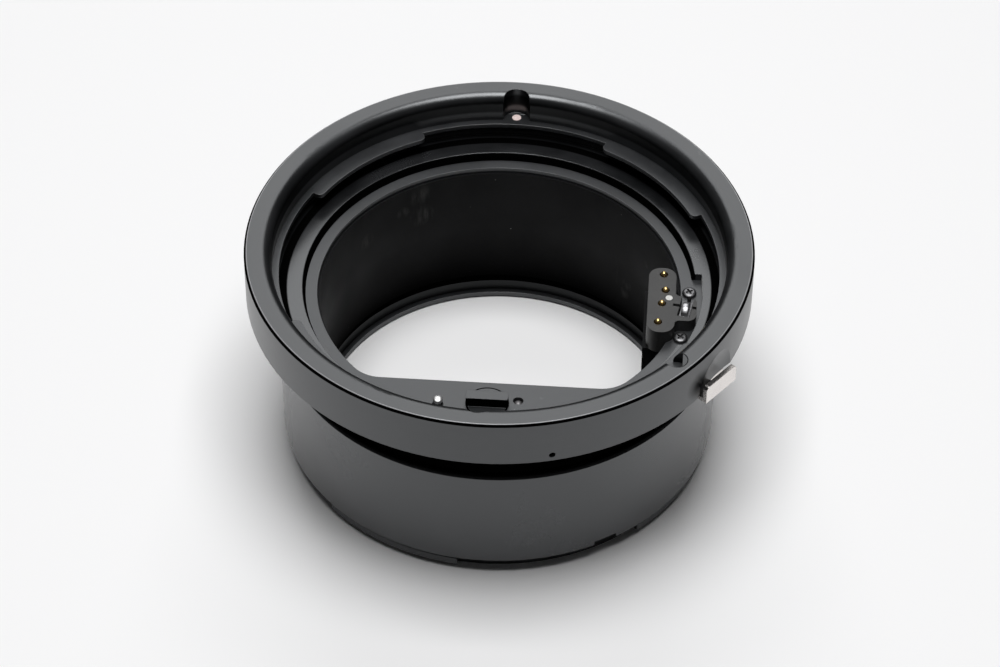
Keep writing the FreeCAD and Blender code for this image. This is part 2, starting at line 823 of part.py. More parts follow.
def lock_bolt():
    """Round bolt with a flat, its upper end shaped like the rim that it stands in."""
    x, y = bolt_centre()
    bolt = cylinder(bolt_radius, lever_top, rim, (x, y))
    bolt = bolt.cut(box(x - 2 * bolt_radius, x + bolt_flat, y - 2 * bolt_radius, y + 2 * bolt_radius,
                        rim - bolt_step_depth, rim + through))
    return bolt.common(rim_section(recess_radius))


def spring_seat():
    """Plug that closes the lever's pocket under the spring."""
    return in_lever_frame(box(lever_plane - lever_clearance + fit_gap,
                              lever_plane + lever_thickness + lever_clearance - fit_gap,
                              lever_arm[0] - lever_clearance + fit_gap, spring_plug_end,
                              collar_base, spring_seat_top))


def lever_spring():
    centre = (lever_plane + lever_thickness / 2, (lever_arm[0] + spring_plug_end) / 2)
    coil = coil_spring(centre, spring_seat_top, spring_top, lever_thickness / 2, lever_spring_turns)
    return in_lever_frame(coil)


def index_dot():
    return cylinder(index_dot_radius, lens_seat - mark_inset, lens_seat + mark_rise,
                    (index_centre[0], index_dot_y))


save("collar", collar())
save("bayonet_ring", bayonet_ring())
save("barrel", barrel())
save("mask_plate", mask_plate())
save("light_baffle", light_baffle())
save("rear_bayonet", rear_bayonet())
save("rear_mask_plate", rear_mask_plate())
save("rear_screws", rear_screws())
save("coupling_shaft", coupling_shaft())
save("shaft_bush_front", shaft_bush_front())
save("shaft_bush_rear", shaft_bush_rear())
save("catch_stud", catch_stud())
save("catch_plunger", catch_plunger())
save("plunger_guide", plunger_guide())
save("plunger_spring", plunger_spring())
save("contact_block", contact_block())
for number, pin_centre in enumerate(pin_centres, 1):
    save("contact_pin_%d" % number, contact_pin(pin_centre))
    save("contact_spring_%d" % number, contact_spring(pin_centre))
save("ground_contact", ground_contact())
save("ground_spring", ground_spring())
save("contact_mark", contact_mark())
save("contact_column", contact_column())
save("rear_contact_block", rear_contact_block())
save("rear_contact_pads", rear_contact_pads())
save("mask_screws", mask_screws())
save("set_screws", set_screws())
save("release_lever", release_lever())
save("lock_bolt", lock_bolt())
save("spring_seat", spring_seat())
save("lever_spring", lever_spring())
save("index_dot", index_dot())
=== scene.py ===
import bpy
import bmesh
import json
import math
from mathutils import Matrix, Vector


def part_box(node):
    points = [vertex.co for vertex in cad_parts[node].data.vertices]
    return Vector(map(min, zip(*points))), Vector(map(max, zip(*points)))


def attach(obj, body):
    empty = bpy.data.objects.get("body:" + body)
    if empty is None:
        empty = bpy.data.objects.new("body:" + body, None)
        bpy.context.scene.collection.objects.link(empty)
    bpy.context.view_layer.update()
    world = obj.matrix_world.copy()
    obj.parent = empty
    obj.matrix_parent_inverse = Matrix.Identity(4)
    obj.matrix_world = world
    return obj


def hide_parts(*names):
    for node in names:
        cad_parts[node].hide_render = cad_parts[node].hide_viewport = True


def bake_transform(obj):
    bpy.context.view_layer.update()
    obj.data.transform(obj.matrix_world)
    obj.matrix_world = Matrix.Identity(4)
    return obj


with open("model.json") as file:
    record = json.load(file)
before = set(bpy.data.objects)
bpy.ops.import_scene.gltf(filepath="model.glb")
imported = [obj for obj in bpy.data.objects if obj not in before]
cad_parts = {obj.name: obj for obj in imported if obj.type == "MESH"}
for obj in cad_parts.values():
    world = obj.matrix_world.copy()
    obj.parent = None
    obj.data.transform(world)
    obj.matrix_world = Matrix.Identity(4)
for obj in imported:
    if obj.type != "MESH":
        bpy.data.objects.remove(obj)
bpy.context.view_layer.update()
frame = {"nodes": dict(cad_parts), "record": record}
MM = 0.001

# Sizes of the tube that the finishes and screws follow, in millimetres
BARREL_RADIUS = 37.2
COLLAR_RADIUS = 42.5
RIM_EDGE = 42.1
RIM_CHAMFER = 0.4
GROOVE_FOOT = 22.6
LEDGE_RADIUS = 33.1
LEDGE_TOP = 32.0
REAR_BORE = 31.8
COUPLING_CENTRE = (0.0, -27.45)
COUPLING_HOLE = 3.5
TONGUE_HEIGHT = 1.9
# Place of the soft spot of painted shade beside the release lever: angle round the axis and height
HOLLOW_ANGLE = -36.5
HOLLOW_HEIGHT = 35.2
BORE_RADIUS = 30.2
MASK_SCREWS = (((32.0, 0.9), 0.5), ((30.85, -10.1), 0.9))
REAR_SCREW_CIRCLE = 32.35
REAR_SCREW_ANGLES = (40, 130, 220, 310)
SET_SCREW_CIRCLE = 41.8
SET_SCREW_ANGLES = (-74.5, 45.5, 165.5)
CONTACT_PAD_CENTRE = (31.5, -4.75)
CONTACT_PAD_TURN = -9.0

# Pale rubs inside the bore: angle round the axis, height and size in millimetres
BORE_RUBS = ((121.0, 27.4, 2.0), (120.0, 22.6, 2.2), (127.7, 24.8, 1.1), (143.5, 23.0, 1.4),
             (45.4, 12.6, 1.0), (46.7, 10.2, 1.1), (35.6, 21.3, 0.7))


def round_axis(radius, degrees, height):
    """Point at a radius and angle round the tube's axis, in metres, from millimetres."""
    angle = math.radians(degrees)
    return radius * math.cos(angle) * MM, radius * math.sin(angle) * MM, height * MM


def top_of(node):
    """Height of a CAD node's top, in millimetres."""
    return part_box(node)[1][2] / MM


# Camera at the photo's viewing angle

def place_camera():
    """Stands the camera where the photo was taken, from its heading, downward tilt and roll."""
    heading, tilt, roll = math.radians(3.7), math.radians(43.958), math.radians(0.455)
    forward = Vector((-math.sin(heading) * math.cos(tilt), math.cos(heading) * math.cos(tilt),
                      -math.sin(tilt)))
    level = Vector((math.cos(heading), math.sin(heading), 0))
    upright = level.cross(forward)
    right = level * math.cos(roll) + upright * math.sin(roll)
    up = right.cross(forward)
    aside, above, away = -0.104, 14.914, 565.66
    rim_centre = Vector((0, 0, top_of("collar") * MM))
    place = rim_centre - (right * aside + up * above + forward * away) * MM
    turn = Matrix((right, up, -forward)).transposed().to_4x4()
    data = bpy.data.cameras.new("photo_camera")
    data.sensor_width = 36.0
    data.lens = 122.4
    data.clip_start = 0.01
    camera = bpy.data.objects.new("photo_camera", data)
    camera.matrix_world = Matrix.Translation(place) @ turn
    bpy.context.scene.collection.objects.link(camera)
    bpy.context.scene.camera = camera


# Finishes

class Nodes:
    """Short hand for building one material's nodes."""

    def __init__(self, name):
        self.material = bpy.data.materials.new(name)
        self.material.use_nodes = True
        self.tree = self.material.node_tree
        self.shader = self.tree.nodes["Principled BSDF"]
        self.place = self.add("ShaderNodeTexCoord").outputs["Object"]

    def add(self, kind, links=(), **settings):
        node = self.tree.nodes.new(kind)
        for key, value in settings.items():
            setattr(node, key, value)
        for socket, value in dict(links).items():
            self.plug(node, socket, value)
        return node

    def plug(self, node, socket, value):
        if isinstance(value, bpy.types.NodeSocket):
            self.tree.links.new(value, node.inputs[socket])
        else:
            node.inputs[socket].default_value = value

    def calc(self, operation, a, b=0.0):
        return self.add("ShaderNodeMath", {0: a, 1: b}, operation=operation).outputs[0]

    def both(self, *masks):
        """Product of masks and strengths."""
        product = masks[0]
        for mask in masks[1:]:
            product = self.calc("MULTIPLY", product, mask)
        return product

    def either(self, *masks):
        """Strongest of masks."""
        most = masks[0]
        for mask in masks[1:]:
            most = self.calc("MAXIMUM", most, mask)
        return most

    def fade(self, length, clear, full):
        """Mask that goes from 0 at clear to 1 at full, both in millimetres."""
        return self.span(length, clear * MM, full * MM)

    def noise(self, scale, detail=3.0, roughness=0.5, place=None):
        return self.add("ShaderNodeTexNoise", {"Vector": place or self.place, "Scale": scale,
                                               "Detail": detail, "Roughness": roughness}).outputs["Fac"]

    def stretched(self, scale, turn=(0, 0, 0)):
        return self.add("ShaderNodeMapping", {"Vector": self.place, "Scale": scale,
                                              "Rotation": turn}).outputs[0]

    def span(self, value, low, high, to_low=0.0, to_high=1.0):
        """Value mapped from low..high to to_low..to_high, and held at the ends."""
        return self.add("ShaderNodeMapRange", {"Value": value, "From Min": low, "From Max": high,
                                               "To Min": to_low, "To Max": to_high}).outputs[0]

    def blend(self, factor, first, second):
        node = self.add("ShaderNodeMix", data_type="RGBA")
        self.plug(node, "Factor", factor)
        for socket, value in ((6, first), (7, second)):
            if isinstance(value, bpy.types.NodeSocket):
                self.tree.links.new(value, node.inputs[socket])
            else:
                node.inputs[socket].default_value = (*value, 1)
        return node.outputs[2]

    def set(self, **values):
        for name, value in values.items():
            socket = name.replace("_", " ")
            if isinstance(value, tuple) and len(value) == 3:
                value = (*value, 1)
            self.plug(self.shader, socket, value)


def scuffs(n, size, share):
    """Short faint rubs in a few places, as a mask."""
    lines = n.noise(1.0, 2, 0.5, n.stretched((1 / size, 1 / size, 9 / size), (0.3, 0.5, 0.2)))
    patches = n.span(n.noise(0.3 / size, 1.0), 1.0 - share, 1.0 - share + 0.05)
    return n.both(n.span(lines, 0.62, 0.72), patches)


def dust(n, spacing, size, share):
    """Tiny pale specks, as a mask."""
    specks = n.add("ShaderNodeTexVoronoi", {"Vector": n.place, "Scale": 1.0 / spacing, "Randomness": 1.0})
    dot = n.span(specks.outputs["Distance"], size * 0.5, size, 1.0, 0.0)
    keep = n.span(n.noise(0.27 / spacing, 1.0), 1.0 - share, 1.0 - share + 0.03)
    return n.both(dot, keep)


def from_axis(n):
    """Distance from the tube's axis, and height."""
    x, y, height = n.add("ShaderNodeSeparateXYZ", {0: n.place}).outputs
    out = n.calc("SQRT", n.calc("ADD", n.calc("POWER", x, 2.0), n.calc("POWER", y, 2.0)))
    return out, height


def soft_spot(n, centre, inner, outer):
    """Mask that is full within the inner distance of a point and fades to the outer one, in millimetres."""
    gap = n.add("ShaderNodeVectorMath", {0: n.place, 1: centre}, operation="DISTANCE").outputs["Value"]
    return n.fade(gap, outer, inner)


def paint_shade(n, mask):
    """Lays painted shade, a deep matt black, over the finish where the mask is set."""
    shade = n.add("ShaderNodeBsdfDiffuse", {"Color": (0.001, 0.001, 0.001, 1), "Roughness": 0.5})
    mixed = n.add("ShaderNodeMixShader", {"Fac": mask, 1: n.shader.outputs[0], 2: shade.outputs[0]})
    n.plug(n.tree.nodes["Material Output"], "Surface", mixed.outputs[0])
    return n


def barrel_shade(n):
    """Mask of painted shade, deep black, in the groove under the collar and on the step around the mask
    plate.
    """
    out, height = from_axis(n)
    groove = n.both(n.fade(out, BARREL_RADIUS - 1.7, BARREL_RADIUS - 1.5),
                    n.fade(height, GROOVE_FOOT, GROOVE_FOOT + 0.5),
                    n.fade(out, BARREL_RADIUS - 0.04, BARREL_RADIUS - 0.2))
    step = n.both(n.fade(out, LEDGE_RADIUS + 0.2, LEDGE_RADIUS + 0.05),
                  n.fade(height, LEDGE_TOP - 0.08, LEDGE_TOP - 0.2))
    return n.either(groove, step)


def collar_shade(n):
    """Mask of painted shade, deep black: on the rim's chamfer, on the recess wall and in a soft spot beside
    the release lever where the hollow lies in shade.
    """
    out, height = from_axis(n)
    high = top_of("collar")
    chamfer = n.both(n.fade(out, RIM_EDGE + 0.04, RIM_EDGE + 0.08),
                     n.fade(height, high - RIM_CHAMFER - 0.02, high - RIM_CHAMFER))
    inside = n.span(out, (RIM_EDGE - 1.1) * MM, (RIM_EDGE - 1.5) * MM, 0.0, 0.75)
    wall = n.both(n.fade(height, high - 3.8, high - 3.3), n.fade(height, high - 0.9, high - 1.5), inside)
    hollow = soft_spot(n, round_axis(COLLAR_RADIUS, HOLLOW_ANGLE, HOLLOW_HEIGHT), 0.5, 3.0)
    return n.either(chamfer, wall, n.both(hollow, 0.85))


def coupling_shade(n):
    """Mask of painted shade, deep black, on the coupling's upright sides, above and below the top of its
    disc.
    """
    height = from_axis(n)[1]
    top = top_of("mask_plate")
    tongue = n.both(n.fade(height, top + 0.08, top + 0.12),
                    n.fade(height, top + TONGUE_HEIGHT - 0.12, top + TONGUE_HEIGHT - 0.18))
    return n.either(tongue, n.fade(height, top + 0.02, top - 0.02))


def plate_shade(n):
    """Mask of painted shade, deep black, round the edge of the coupling's hole in the mask plate."""
    centre = (COUPLING_CENTRE[0] * MM, COUPLING_CENTRE[1] * MM, top_of("mask_plate") * MM)
    return soft_spot(n, centre, COUPLING_HOLE + 0.02, COUPLING_HOLE + 0.12)


def rear_shade(n):
    """Mask of painted shade, deep black at two thirds strength, on the rear ring's inside at the end of the
    dark bore.
    """
    return n.both(n.fade(from_axis(n)[0], REAR_BORE + 0.8, REAR_BORE), 0.65)


def painted_rim_highlight(n):
    """Mask of a thin painted highlight between the rim's flat top and its chamfer, where a rounded corner
    would catch the light.
    """
    out, height = from_axis(n)
    high = top_of("collar")
    return n.both(n.fade(out, RIM_EDGE - 0.14, RIM_EDGE - 0.07),
                  n.fade(out, RIM_EDGE + 0.07, RIM_EDGE + 0.03), n.fade(height, high - 0.12, high - 0.06))


def black_finish(name, tone, shine, gloss, edge=0.12, grain=0.25, specks=0.25, edge_wear_and_highlight=0.3,
                 with_rim_highlight=False):
    """Satin black coat: fine blasted grain, faint smudges, lint specks, and edges lightened, partly where
    the coat is rubbed through and partly as a painted highlight.
    """
    n = Nodes(name)
    n.material.diffuse_color = (tone, tone, tone, 1)
    smudge = n.noise(70, 3, 0.6)
    fine = n.noise(5200, 2, 0.6)
    rounded = n.add("ShaderNodeBevel", {"Radius": edge * MM}, samples=6).outputs[0]
    true_normal = n.add("ShaderNodeNewGeometry").outputs["Normal"]
    turn = n.add("ShaderNodeVectorMath", {0: rounded, 1: true_normal}, operation="DOT_PRODUCT")
    # Lighter colour on the edges: partly where the coat is rubbed through, partly a painted highlight where
    # rounded edges catch the light.
    rubbed_and_highlit_edges = n.both(n.span(turn.outputs["Value"], 0.985, 0.86),
                  n.span(n.noise(160, 2, 0.5), 0.40, 0.56, 0.35, 1.0), edge_wear_and_highlight)
    light = n.either(rubbed_and_highlit_edges, n.both(scuffs(n, 0.0016, 0.33), 0.10),
                     n.both(dust(n, 0.0026, 0.055, specks), 0.9))
    # Thin painted highlight along the rim's top edge, where a rounded corner would catch the light.
    if with_rim_highlight:
        light = n.either(light, n.both(painted_rim_highlight(n), 0.85))
    mottle = n.calc("ADD", n.calc("MULTIPLY", smudge, 1 - grain), n.calc("MULTIPLY", fine, grain))
    body = n.blend(n.span(mottle, 0.36, 0.64),
                   (tone * 0.5, tone * 0.54, tone * 0.6), (tone * 1.5, tone * 1.56, tone * 1.7))
    n.set(Base_Color=n.blend(light, body, (0.30, 0.30, 0.31)), Specular_IOR_Level=gloss,
          Specular_Tint=(0.95, 0.975, 1.0),
          Roughness=n.calc("ADD", n.span(smudge, 0.3, 0.7, shine - 0.035, shine + 0.035),
                           n.span(fine, 0.3, 0.7, -0.12 * grain, 0.12 * grain)))
    bump = n.add("ShaderNodeBump", {"Strength": grain, "Distance": 0.00002, "Height": fine,
                                    "Normal": rounded})
    n.set(Normal=bump.outputs[0])
    return n


def bore_finish(name):
    """Deep matt black paint with a few pale rubbed streaks and lint; painted shade makes it deeper black
    towards the lower end of the bore.
    """
    n = Nodes(name)
    n.material.diffuse_color = (0.01, 0.01, 0.01, 1)
    rub = n.span(n.noise(160, 4, 0.7, n.stretched((1.0, 1.0, 0.22), (0.12, 0.0, 0.0))), 0.66, 0.80)
    rub = n.both(rub, n.span(n.noise(45, 1), 0.48, 0.62))
    streak = n.span(n.noise(1.0, 3, 0.6, n.stretched((900, 900, 260))), 0.42, 0.66)
    for degrees, height, size in BORE_RUBS:
        spot = soft_spot(n, round_axis(BORE_RADIUS, degrees, height), size * 0.3, size * 1.3)
        rub = n.either(rub, n.both(spot, streak))
    lint = n.both(dust(n, 0.0026, 0.05, 0.42), 0.8)
    n.set(Base_Color=n.blend(n.either(n.both(rub, 0.16), lint),
                             (0.0028, 0.0030, 0.0036), (0.23, 0.23, 0.22)),
          Roughness=n.span(n.noise(90), 0.3, 0.7, 0.56, 0.68), Specular_IOR_Level=0.15)
    bump = n.add("ShaderNodeBump", {"Strength": 0.35, "Distance": 0.00003, "Height": n.noise(4200, 2)})
    n.set(Normal=bump.outputs[0])
    # Painted shade: deep black over the lower end of the bore, fading out upward.
    return paint_shade(n, n.span(from_axis(n)[1], 0.017, 0.006, 0.0, 0.92))


def metal_finish(name, colour, shine, lines=(900, 900, 60), tarnish=0.12, edge=0.05):
    """Bare or plated metal with fine turning marks and a little dulling."""
    n = Nodes(name)
    n.material.diffuse_color = (*colour, 1)
    marks = n.noise(1.0, 2, 0.6, n.stretched(lines))
    dull = n.span(n.noise(260, 3), 0.42, 0.68)
    n.set(Metallic=1.0,
          Base_Color=n.blend(n.calc("MULTIPLY", dull, tarnish * 3), colour,
                             tuple(c * (1 - 1.6 * tarnish) for c in colour)),
          Roughness=n.calc("ADD", n.span(marks, 0.3, 0.7, shine - 0.04, shine + 0.05),
                           n.calc("MULTIPLY", dull, tarnish)))
    rounded = n.add("ShaderNodeBevel", {"Radius": edge * MM}, samples=4).outputs[0]
    bump = n.add("ShaderNodeBump", {"Strength": 0.12, "Distance": 0.00001, "Height": marks,
                                    "Normal": rounded})
    n.set(Normal=bump.outputs[0])
    return n


def moulded_finish(name, tone, shine):
    """Moulded black plastic with a fine even grain."""
    n = Nodes(name)
    n.material.diffuse_color = (tone, tone, tone, 1)
    grain = n.noise(3600, 3, 0.6)
    patch = n.noise(240, 2)
    lint = n.both(dust(n, 0.0016, 0.06, 0.35), 0.6)
    body = n.blend(n.span(patch, 0.3, 0.7), (tone * 0.88,) * 3, (tone * 1.1,) * 3)
    n.set(Base_Color=n.blend(lint, body, (0.35, 0.35, 0.34)),
          Roughness=n.span(grain, 0.3, 0.7, shine - 0.05, shine + 0.05))
    rounded = n.add("ShaderNodeBevel", {"Radius": 0.1 * MM}, samples=6).outputs[0]
    bump = n.add("ShaderNodeBump", {"Strength": 0.3, "Distance": 0.00002, "Height": grain,
                                    "Normal": rounded})
    n.set(Normal=bump.outputs[0])
    return n


def mark_finish(name, colour):
    """Filled paint dot, a little uneven."""
    n = Nodes(name)
    n.material.diffuse_color = (*colour, 1)
    patch = n.span(n.noise(2600, 2), 0.35, 0.65)
    n.set(Base_Color=n.blend(patch, tuple(c * 0.85 for c in colour), colour),
          Roughness=n.span(patch, 0, 1, 0.3, 0.42))
    return n


FINISHES = {
    "satin_black": black_finish("satin_black_anodised", 0.008, 0.40, 0.90, edge=0.16, grain=0.2),
    "flange_black": black_finish("satin_black_flange", 0.014, 0.40, 1.0, edge=0.14, grain=0.2,
                                 edge_wear_and_highlight=0.6, specks=0.33),
    "matt_black": bore_finish("matt_black_bore"),
    "contact_grey": moulded_finish("contact_block_plastic", 0.030, 0.46),
    "gold": metal_finish("gold_plate", (0.90, 0.64, 0.27), 0.30, (400, 400, 400), 0.06),
    "bright_steel": metal_finish("bright_steel", (0.50, 0.50, 0.515), 0.30),
    "bright_chrome": metal_finish("lever_chrome", (0.76, 0.725, 0.70), 0.22, (120, 120, 2400), 0.08, 0.12),
    "screw_black": metal_finish("blackened_steel", (0.16, 0.16, 0.165), 0.34, (2000, 2000, 2000), 0.1),
    "spring_steel": metal_finish("spring_steel", (0.48, 0.48, 0.48), 0.30),
    "bush_brass": metal_finish("bush_brass", (0.62, 0.47, 0.22), 0.32, (60, 60, 3000), 0.2),
    "white_paint": mark_finish("white_paint", (0.62, 0.62, 0.60)),
    "index_paint": mark_finish("index_paint", (0.86, 0.70, 0.67)),
}
# Own finishes of some pieces. Barrel, collar, coupling, mask plate and rear ring each carry painted shade:
# deep matt black laid over their finish where their masks are set.
BARREL = black_finish("satin_black_barrel", 0.009, 0.25, 1.0, grain=0.06, specks=0.33)
BARREL.set(Sheen_Weight=0.35, Sheen_Roughness=0.3)
paint_shade(BARREL, barrel_shade(BARREL))
COLLAR = black_finish("satin_black_collar", 0.008, 0.33, 1.0, edge=0.16, grain=0.15, with_rim_highlight=True)
paint_shade(COLLAR, collar_shade(COLLAR))
COUPLING = black_finish("coupling_black", 0.012, 0.36, 0.95, edge=0.10, grain=0.1)
paint_shade(COUPLING, coupling_shade(COUPLING))
PLATE = black_finish("satin_black_plate", 0.014, 0.42, 1.0, edge=0.14, grain=0.2, edge_wear_and_highlight=0.6, specks=0.33)
paint_shade(PLATE, plate_shade(PLATE))
REAR = black_finish("satin_black_rear", 0.008, 0.36, 0.9, grain=0.15)
paint_shade(REAR, rear_shade(REAR))
PLUNGER = metal_finish("plunger_steel", (0.20, 0.195, 0.20), 0.48, (900, 900, 200), 0.2)
STUD = metal_finish("stud_steel", (0.86, 0.86, 0.86), 0.42, (1500, 1500, 1500), 0.08)
OWN_FINISHES = {"coupling_shaft": COUPLING, "barrel": BARREL, "collar": COLLAR, "mask_plate": PLATE,
                "rear_bayonet": REAR, "catch_plunger": PLUNGER}


def dress_frame():
    """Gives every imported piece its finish."""
    slots = {part["node"]: part["material_slot"] for part in frame["record"]["subparts"]}
    for name, piece in frame["nodes"].items():
        n = OWN_FINISHES.get(name, FINISHES[slots[name]])
        piece.data.materials.clear()
        piece.data.materials.append(n.material)


# Screws, one tree of nodes for each kind

class Tree:
    """Short hand for building one tree of geometry nodes with named sizes."""

    def __init__(self, name, sizes):
        self.tree = bpy.data.node_groups.new(name, "GeometryNodeTree")
        self.sockets = {}
        self.tree.interface.new_socket("Places", in_out="INPUT", socket_type="NodeSocketGeometry")
        for size, value in sizes.items():
            socket = self.tree.interface.new_socket(size, in_out="INPUT", socket_type="NodeSocketFloat")
            socket.default_value = value
            self.sockets[size] = socket.identifier
        self.tree.interface.new_socket("Screws", in_out="OUTPUT", socket_type="NodeSocketGeometry")
        self.given = self.tree.nodes.new("NodeGroupInput")
        self.result = self.tree.nodes.new("NodeGroupOutput")

    def size(self, name):
        return self.given.outputs[name]

    def add(self, kind, links=(), out=0, **settings):
        node = self.tree.nodes.new(kind)
        for key, value in settings.items():
            setattr(node, key, value)
        for socket, value in dict(links).items():
            for one in value if isinstance(value, list) else [value]:
                if isinstance(one, bpy.types.NodeSocket):
                    self.tree.links.new(one, node.inputs[socket])
                else:
                    node.inputs[socket].default_value = one
        return node.outputs[out]

    def calc(self, operation, a, b=0.0):
        return self.add("ShaderNodeMath", {0: a, 1: b}, operation=operation)

    def place(self, x=0.0, y=0.0, z=0.0):
        return self.add("ShaderNodeCombineXYZ", {0: x, 1: y, 2: z})

    def frustum(self, low_radius, high_radius, height, level, sides=40):
        cone = self.add("GeometryNodeMeshCone", {"Vertices": sides, "Radius Bottom": low_radius,
                                                 "Radius Top": high_radius, "Depth": height})
        return self.add("GeometryNodeTransform", {"Geometry": cone,
                                                  "Translation": self.place(0.0, 0.0, level)})

    def bar(self, length, width, depth, level, turn):
        cube = self.add("GeometryNodeMeshCube", {"Size": self.place(length, width, depth)})
        return self.add("GeometryNodeTransform", {"Geometry": cube, "Rotation": (0.0, 0.0, turn),
                                                  "Translation": self.place(0.0, 0.0, level)})

    def join(self, *pieces):
        return self.add("GeometryNodeJoinGeometry", {"Geometry": list(reversed(pieces))})

    def cut(self, body, *tools):
        return self.add("GeometryNodeMeshBoolean", {"Mesh 1": body, "Mesh 2": list(tools)},
                        operation="DIFFERENCE", solver="EXACT")

    def thread(self, radius, length, pitch, level):
        """Core with a fine ridge wound round it, from the level downwards."""
        depth = self.calc("MULTIPLY", pitch, 0.5)
        core = self.frustum(self.calc("SUBTRACT", radius, depth), self.calc("SUBTRACT", radius, depth),
                            length, self.calc("SUBTRACT", level, length), 24)
        turns = self.calc("DIVIDE", length, pitch)
        path = self.add("GeometryNodeCurveSpiral", {
            "Resolution": 20, "Rotations": self.calc("SUBTRACT", turns, 1.2),
            "Start Radius": self.calc("SUBTRACT", radius, depth),
            "End Radius": self.calc("SUBTRACT", radius, depth),
            "Height": self.calc("SUBTRACT", length, self.calc("MULTIPLY", pitch, 1.2))})
        ridge = self.add("GeometryNodeCurvePrimitiveCircle", {"Resolution": 4, "Radius": depth})
        wound = self.add("GeometryNodeCurveToMesh", {"Curve": path, "Profile Curve": ridge,
                                                     "Fill Caps": True})
        low = self.calc("ADD", self.calc("SUBTRACT", level, length), self.calc("MULTIPLY", pitch, 0.6))
        wound = self.add("GeometryNodeTransform", {"Geometry": wound,
                                                   "Translation": self.place(0.0, 0.0, low)})
        return self.join(core, wound)

    def finish(self, screw, material):
        turn = self.add("GeometryNodeInputNamedAttribute", {"Name": "turn"}, data_type="FLOAT_VECTOR")
        many = self.add("GeometryNodeInstanceOnPoints", {"Points": self.given.outputs["Places"],
                                                         "Instance": screw, "Rotation": turn})
        many = self.add("GeometryNodeRealizeInstances", {"Geometry": many})
        many = self.add("GeometryNodeSetMaterial", {"Geometry": many, "Material": material})
        self.tree.links.new(many, self.result.inputs[0])
        return self


def cross_screw_tree(material):
    """Rounded pan head with a cross recess, and a threaded shank below it."""
    t = Tree("cross_recess_screw", {"Head Radius": 0.0012, "Head Height": 0.0006,
                                    "Shank Radius": 0.0006, "Shank Length": 0.0034,
                                    "Thread Pitch": 0.0003, "Recess Length": 0.0013,
                                    "Recess Width": 0.00034, "Recess Depth": 0.0004})
    radius, height = t.size("Head Radius"), t.size("Head Height")
    steps = ((0.0, 1.0), (0.45, 1.0), (0.68, 0.95), (0.86, 0.84), (1.0, 0.66))
    layers = []
    for (low, wide), (high, narrow) in zip(steps, steps[1:]):
        layers.append(t.frustum(t.calc("MULTIPLY", radius, wide), t.calc("MULTIPLY", radius, narrow),
                                t.calc("MULTIPLY", height, high - low), t.calc("MULTIPLY", height, low)))
    head = t.add("GeometryNodeMeshBoolean", {"Mesh 2": layers}, operation="UNION", solver="EXACT")
    arms = [t.bar(t.size("Recess Length"), t.size("Recess Width"),
                  t.calc("MULTIPLY", t.size("Recess Depth"), 2.0), height, turn)
            for turn in (0.0, math.pi / 2)]
    pit = t.frustum(t.calc("MULTIPLY", t.size("Recess Width"), 0.5), t.size("Recess Width"),
                    t.size("Recess Depth"), t.calc("SUBTRACT", height, t.size("Recess Depth")), 16)
    head = t.cut(head, *arms)
    head = t.cut(head, pit)
    shank = t.thread(t.size("Shank Radius"), t.size("Shank Length"), t.size("Thread Pitch"), 0.0)
    return t.finish(t.join(head, shank), material)


def flush_screw_tree(material):
    """Countersunk head with a cross recess, and a threaded shank below it."""
    t = Tree("countersunk_screw", {"Head Radius": 0.00135, "Shank Radius": 0.0009,
                                   "Shank Length": 0.0046, "Thread Pitch": 0.00035,
                                   "Recess Length": 0.0015, "Recess Width": 0.00036,
                                   "Recess Depth": 0.00035})
    radius, shank = t.size("Head Radius"), t.size("Shank Radius")
    height = t.calc("SUBTRACT", radius, shank)
    head = t.frustum(shank, radius, height, t.calc("MULTIPLY", height, -1.0))
    arms = [t.bar(t.size("Recess Length"), t.size("Recess Width"),
                  t.calc("MULTIPLY", t.size("Recess Depth"), 2.0), 0.0, turn)
            for turn in (0.0, math.pi / 2)]
    head = t.cut(head, *arms)
    below = t.thread(shank, t.size("Shank Length"), t.size("Thread Pitch"),
                     t.calc("MULTIPLY", height, -1.0))
    return t.finish(t.join(head, below), material)


def set_screw_tree(material):
    """Headless screw with a straight slot in its outer end."""
    t = Tree("slotted_set_screw", {"Shank Radius": 0.0005, "Shank Length": 0.0024,
                                   "Thread Pitch": 0.00025, "Slot Width": 0.00016,
                                   "Slot Depth": 0.0003})
    radius = t.size("Shank Radius")
    inner = t.calc("SUBTRACT", radius, t.calc("MULTIPLY", t.size("Thread Pitch"), 0.5))
    cap_height = t.calc("MULTIPLY", t.size("Slot Depth"), 1.5)
    cap = t.frustum(radius, inner, cap_height, t.calc("MULTIPLY", cap_height, -1.0), 32)
    cap = t.cut(cap, t.bar(t.calc("MULTIPLY", radius, 3.0), t.size("Slot Width"),
                           t.calc("MULTIPLY", t.size("Slot Depth"), 2.0), 0.0, 0.4))
    below = t.thread(radius, t.calc("SUBTRACT", t.size("Shank Length"), cap_height),
                     t.size("Thread Pitch"), t.calc("MULTIPLY", cap_height, -1.0))
    return t.finish(t.join(cap, below), material)


